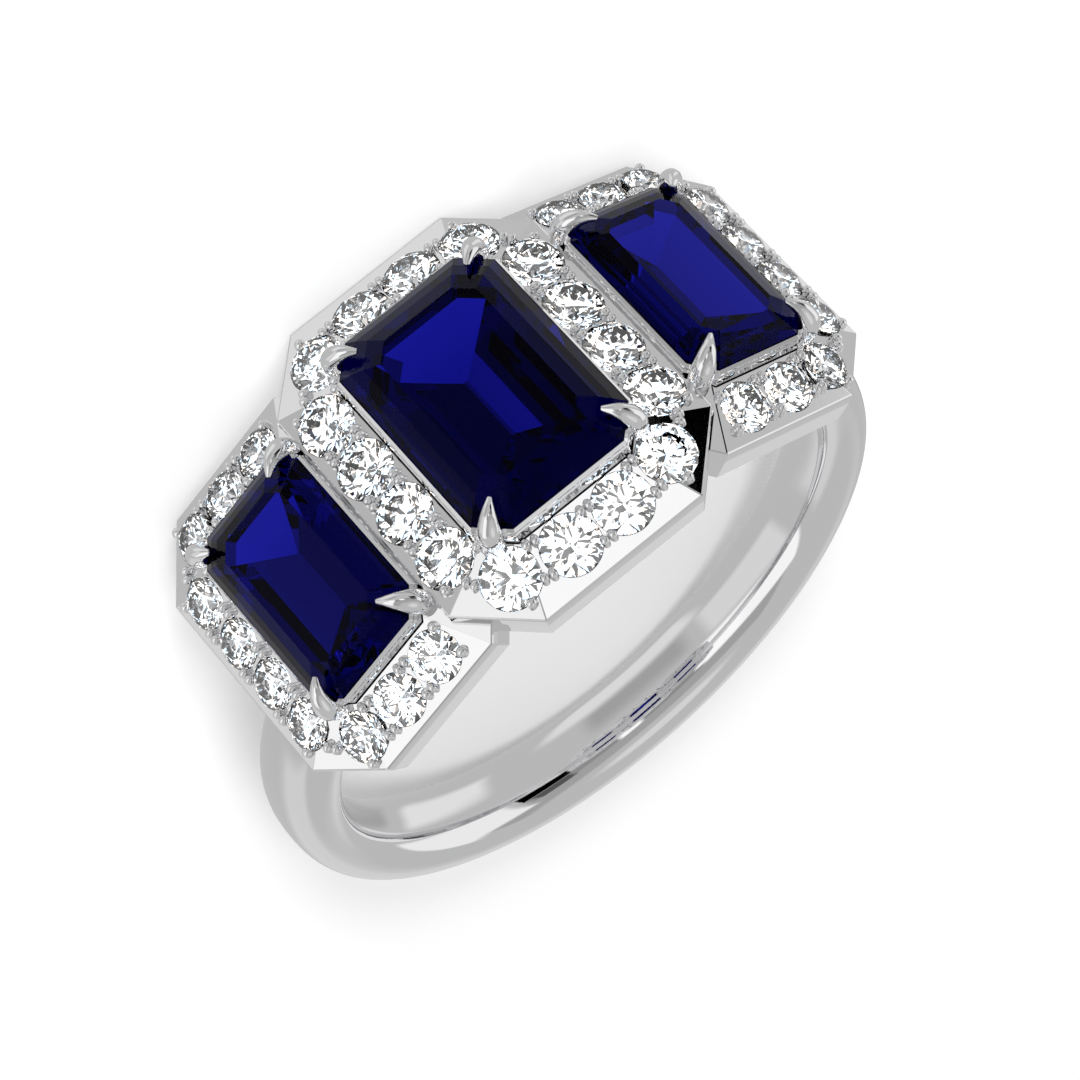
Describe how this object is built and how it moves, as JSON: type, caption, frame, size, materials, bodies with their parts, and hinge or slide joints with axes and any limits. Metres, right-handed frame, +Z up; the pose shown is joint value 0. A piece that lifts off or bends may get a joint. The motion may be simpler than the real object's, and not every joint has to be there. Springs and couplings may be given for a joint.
{
  "type": "three-stone ring",
  "caption": "White gold finger ring with emerald-cut blue sapphires in claws, each framed by an octagonal halo of bead-set round diamonds, on a plain court band.",
  "frame": {"origin": "centre of the bounding box's bottom face, on the surface that the ring lies on", "axes": "+Z up from that surface, +Y from the back of the band towards the heads, +X across the row of heads"},
  "size_m": [0.021, 0.0252, 0.0109],
  "materials": {
    "white_gold": "polished rhodium plate",
    "sapphire": "polished facets",
    "diamond": "polished facets"
  },
  "bodies": {
    "root": {"mounting": "white_gold", "centre_sapphire": "sapphire", "left_sapphire": "sapphire", "right_sapphire": "sapphire", "centre_diamond_01": "diamond", "centre_diamond_02": "diamond", "centre_diamond_03": "diamond", "centre_diamond_04": "diamond", "centre_diamond_05": "diamond", "centre_diamond_06": "diamond", "centre_diamond_07": "diamond", "centre_diamond_08": "diamond", "centre_diamond_09": "diamond", "centre_diamond_10": "diamond", "centre_diamond_11": "diamond", "centre_diamond_12": "diamond", "centre_diamond_13": "diamond", "centre_diamond_14": "diamond", "centre_diamond_15": "diamond", "centre_diamond_16": "diamond", "left_diamond_01": "diamond", "left_diamond_02": "diamond", "left_diamond_03": "diamond", "left_diamond_04": "diamond", "left_diamond_05": "diamond", "left_diamond_06": "diamond", "left_diamond_07": "diamond", "left_diamond_08": "diamond", "left_diamond_09": "diamond", "left_diamond_10": "diamond", "right_diamond_01": "diamond", "right_diamond_02": "diamond", "right_diamond_03": "diamond", "right_diamond_04": "diamond", "right_diamond_05": "diamond", "right_diamond_06": "diamond", "right_diamond_07": "diamond", "right_diamond_08": "diamond", "right_diamond_09": "diamond", "right_diamond_10": "diamond"}
  },
  "joints": []
}
